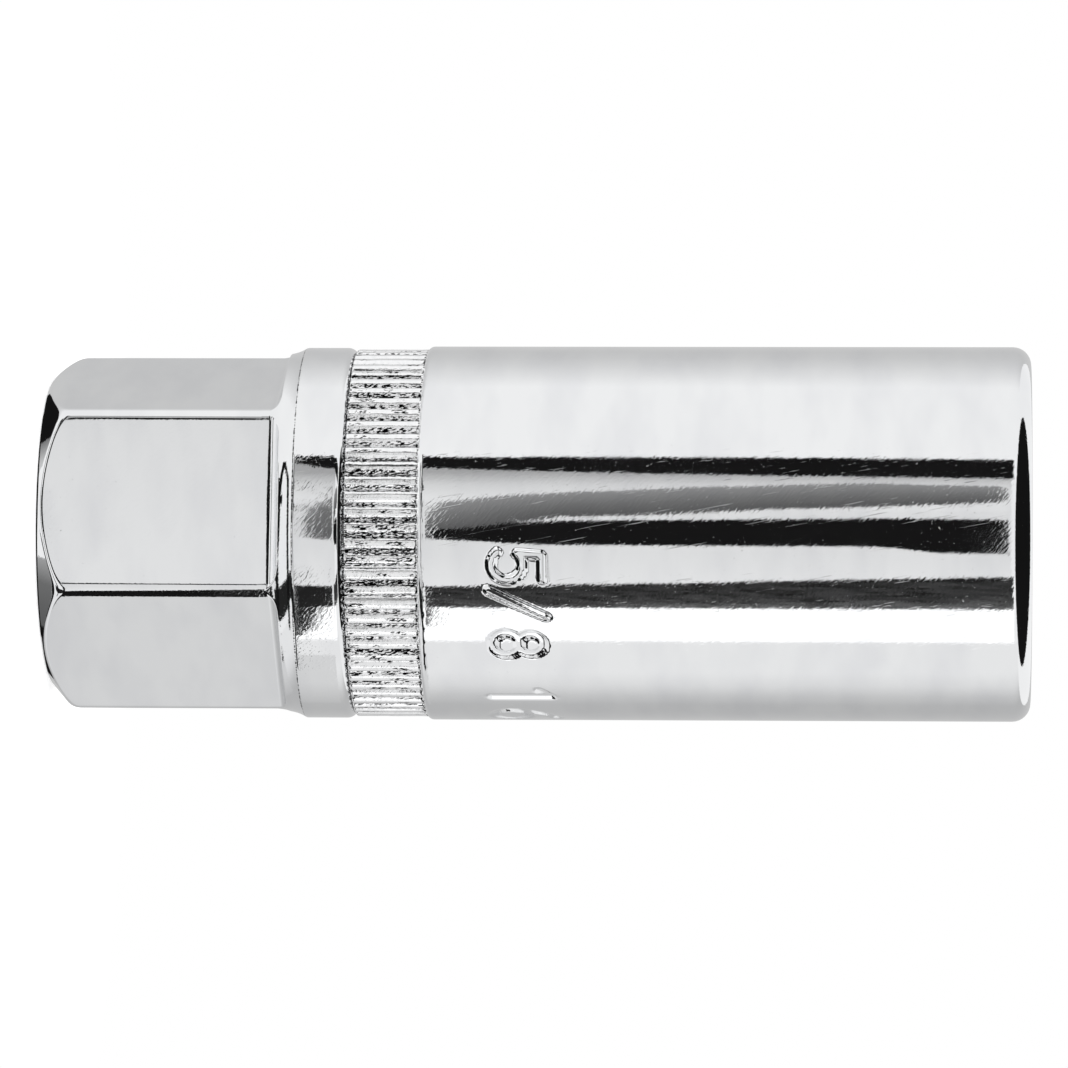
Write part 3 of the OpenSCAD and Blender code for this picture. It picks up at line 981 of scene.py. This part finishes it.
# %% Ring of walls
RING_R = 250.0
RING_CARDS = [
    # name, place in front of the ring in mm, heights, low edge, high edge, light from low to high
    ("front_fill", 0, [-90, 75], [-57.9], [44.4], [0.98, 0.9, 0.83, 0.83, 0.83]),
    ("grey_card", 3, [-90, 75], [13.5], [44.4], [0.86, 0.87, 0.74, 0.43, 0.42]),
    ("low_fill", 3, [-90, 2], [-130], [-80], [0.56, 0.74, 0.76]),
    ("flat_flag", 9, [-160, -35], [19.2], [25.8], BLACK),
    ("foot_flag", 10, [-450, -38], [-60], [-36], [0.02]),
    ("soft_box", 3, [-4, 90], [-68.0], [-45.4], [1.3]),
    ("back_wall", 0, [-450, 160], [100], [291],
     [1.0, 0.86, 0.74, 0.65, 0.61, 0.62, 0.62, 0.60, 0.57, 0.54, 0.52, 0.53, 0.64, 0.82, 0.92, 0.92, 0.92]),
]
for name, forward, heights, low, high, light in RING_CARDS:
    height = spread(heights, up_share)[..., None]
    make_card(name, (RING_R - forward) * outward(between(low, high)) + height * AXIS, light)
print(f"{len(RING_CARDS)} cards round the axis")

# %% [markdown]
# ## Flags drawn in the mirror
# Small cards stand close by. Each is drawn as it should look in the chrome, by a place along the
# body and the angle from the camera's line that the chrome there reflects, and then put where the
# mirror sends that look. Close cards keep their edges: the further off a card is, the more the
# polishing hairs smear it. The low flag is of cloth, and shows as fine grey streaks.

# %% Flags seen in the barrel
NEAR = 60.0
CLOTH = 0.8
BARREL_CARDS = [
    # name, place in front in mm, heights on the barrel, low edge, high edge, light from low to high
    ("dark_grey_card", 0,
     [25.7, 26.0, 26.6, 28.5, 31.0, 34.3, 36.9, 40.2, 43.4, 47.3, 51.2, 55.1, 59.0, 62.9, 63.5],
     [2, 1, 1, 1, 5.5, 9.6, 10.3, 11, 12.5, 14.4, 15.4, 16.4, 17.8, 19.4, 21.4],
     [7, 13, 18, 20.4, 22.6, 24.4, 25.3, 26.6, 28.2, 28.9, 30.2, 30.6, 29.7, 29.2, 27.4],
     [0.10, 0.18, 0.30]),
    ("collar_card", 0, [17.85, 18.2, 18.7, 19.4, 19.9, 20.4, 20.8],
     [2, -2.9, -4.1, -4.1, -3, -1, -1], [8, 14.3, 17.4, 20.5, 27, 29, 29], [0.12, 0.2]),
    ("high_flag", 3, [17.0, 17.7, 19.1, 26.5, 36.9, 47.3, 62.9, 67.0],
     [43, 42.5, 39.8, 39.6, 37, 35.5, 34, 34], [47.6, 47.8, 47.8, 46.9, 47, 47, 46, 45.6], BLACK),
    ("middle_flag", 3, [25.7, 26.1, 28.5, 31.0, 34.3, 55.5, 58.5, 63.2, 63.7],
     [-2.5, -4, -4.4, -6, -7, -7.5, -11, -11.5, -9.5], [0.5, 2, 3, 6, 7.4, 9.4, 9.3, 8.9, 7], BLACK),
    ("low_flag", 3, [25.2, 25.9, 26.2, 34.3, 43.4, 47.3, 62.9, 67.0],
     [-60, -57, -46, -46, -46, -46, -46, -46],
     [-32.6, -32.6, -32.6, -31.2, -29.9, -28.7, -25.8, -25.3], [0.13, 0.06, 0.04, 0.035, 0.03], CLOTH),
    ("low_collar_flag", 3, [16.9, 17.5, 18.3, 18.9, 20.4],
     [-66, -66, -60, -46.2, -46.2], [-32.6], [0.03, 0.02, 0.015]),
    ("knurl_flag", 3, [20.6, 25.0], [-6], [20], [0.8]),
]
for name, forward, heights, low, high, light, *cloth in BARREL_CARDS:
    facing = outward(between(low, high) / 2)
    points = BARREL_R * facing + spread(heights, up_share)[..., None] * AXIS
    make_card(name, seen_in(points, facing, NEAR - forward), light, *cloth)
print(f"{len(BARREL_CARDS)} cards for the barrel and the collar")

# %% [markdown]
# ## Edges of the hexagon
# A rounded edge turns through 60 degrees within a millimetre, so it would show the whole room. The
# black line along the lower edge and the fine outlines of the facing flat are flags, drawn by the
# turn of the edge's own normals. They stand far off, where the collar doesn't show them as well.

# %% Flags seen in two edges
EDGE_FAR = 200.0
EDGE_TOP = 15.9
EDGE_CARDS = [
    # name, turn of the edge, foot, turn of its first and last normals up the edge
    ("low_edge_flag", CAMERA_TURN - 30, -27.0, [-47.5], [-23, -23, -23, -23, -22, -17.5, -9]),
    ("low_edge_line", CAMERA_TURN - 30, -1.0, [7.5], [10]),
    ("high_edge_line", CAMERA_TURN + 30, -1.0, [12], [15.5]),
]
edge_centre_r = (HEX_H - HEX_EDGE_R) / np.cos(30 * DEG)
for name, edge_turn, foot, low, high in EDGE_CARDS:
    facing = outward(between(low, high))
    points = edge_centre_r * outward(np.array(edge_turn)) + HEX_EDGE_R * facing
    points = points + spread([foot, EDGE_TOP], up_share)[..., None] * AXIS
    make_card(name, seen_in(points, facing, EDGE_FAR), BLACK)
print(f"{len(EDGE_CARDS)} flags for the hexagon's edges")

# %% [markdown]
# ## Chamfer
# The chamfer faces down, so its cards lie under it: black at the top of the picture, grey below the
# middle, and a thin dark rim all along its foot. They are drawn by the turn and the tilt of the
# chamfer's normals, which its soft edges carry on in both directions.

# %% Cards seen in the chamfer
UNDER_FAR = 100.0
CHAMFER_CARDS = [
    # name, low and high turn, low and high tilt of the normals, light from low to high turn
    ("under_high", 34.5, 62, -60, -36, BLACK),
    ("under_high_grey", 26, 34.5, -60, -40, [0.6, 0.2]),
    ("under_low_grey", -37, -9, -60, -47.5, [0.12, 0.14, 0.17, 0.4]),
    ("under_low_line", -37, 2, -47, -36, BLACK),
    ("under_low", -66, -37, -58, -42, BLACK),
    ("under_rim", -43, 50, -87, -52.5, BLACK),
]
for name, low, high, low_tilt, high_tilt, light in CHAMFER_CARDS:
    turn = between([low], [high])
    facing = facing_at(turn, spread([low_tilt, high_tilt], up_share))
    make_card(name, seen_in(END_RING_R * outward(turn), facing, UNDER_FAR), light)
print(f"{len(CHAMFER_CARDS)} cards under the chamfer")

# %% [markdown]
# ## Shoulder
# On the hollow shoulder two black lines run along the facing flat's end and meet in a tip, like
# the outline of a lens, and a third runs beside the collar's edge. The normals tilt from level to
# steep within a millimetre there, so each line is a card of its own, drawn by tilts along its turns.

# %% Cards seen in the shoulder
LENS_R, LENS_Z = 12.0, 16.6
LENS_TURNS = [-31, -20, -8, 0, 10, 17, 22.5]
LENS_CARDS = [
    # name, distance, turns, low and high tilts of the normals along them
    ("lens_left", UNDER_FAR, LENS_TURNS,
     [-11, -11, -11, -13, -14.3, -16, -20.5], [-8, -7, -6, -9, -10, -12, -16.5]),
    ("lens_right", UNDER_FAR, LENS_TURNS,
     [-27, -27.2, -27.2, -27, -27, -26.5, -20.5], [-24.5, -24, -24, -24, -24, -23, -16.5]),
    ("collar_edge", EDGE_FAR, [4, 10, 17, 24], [-6.5, -8.5, -9.5, -9.5], [-4]),
]
for name, far, turns, low_tilts, high_tilts in LENS_CARDS:
    turn = spread(turns, up_share)
    facing = facing_at(turn, between(low_tilts, high_tilts))
    make_card(name, seen_in(LENS_R * outward(turn) + LENS_Z * AXIS, facing, far), BLACK)
print(f"{len(LENS_CARDS)} cards for the shoulder")

# %% [markdown]
# ## Mouth
# The round edge of the open end shows a black hood as a slim dark crescent. The hood is drawn as an
# ellipse of that edge's own normals, by the sines of their tilt and their turn.

# %% Hood seen in the mouth's edge
HOOD_RISE, HOOD_RISE_HALF = 0.48, 0.40
HOOD_TURN, HOOD_TURN_HALF = -0.04, 0.66
disc = across_share * np.exp(2j * np.pi * up_share)
turn = np.arcsin(HOOD_TURN + HOOD_TURN_HALF * disc.imag) / DEG
facing = facing_at(turn, np.arcsin(HOOD_RISE + HOOD_RISE_HALF * disc.real) / DEG)
mouth = mouth_centre.real * outward(turn) + mouth_centre.imag * AXIS + MOUTH_EDGE_R * facing
make_card("hood", seen_in(mouth, facing, NEAR), BLACK)
print(f"the hood spans turns from {turn.min():.0f} to {turn.max():.0f} degrees")
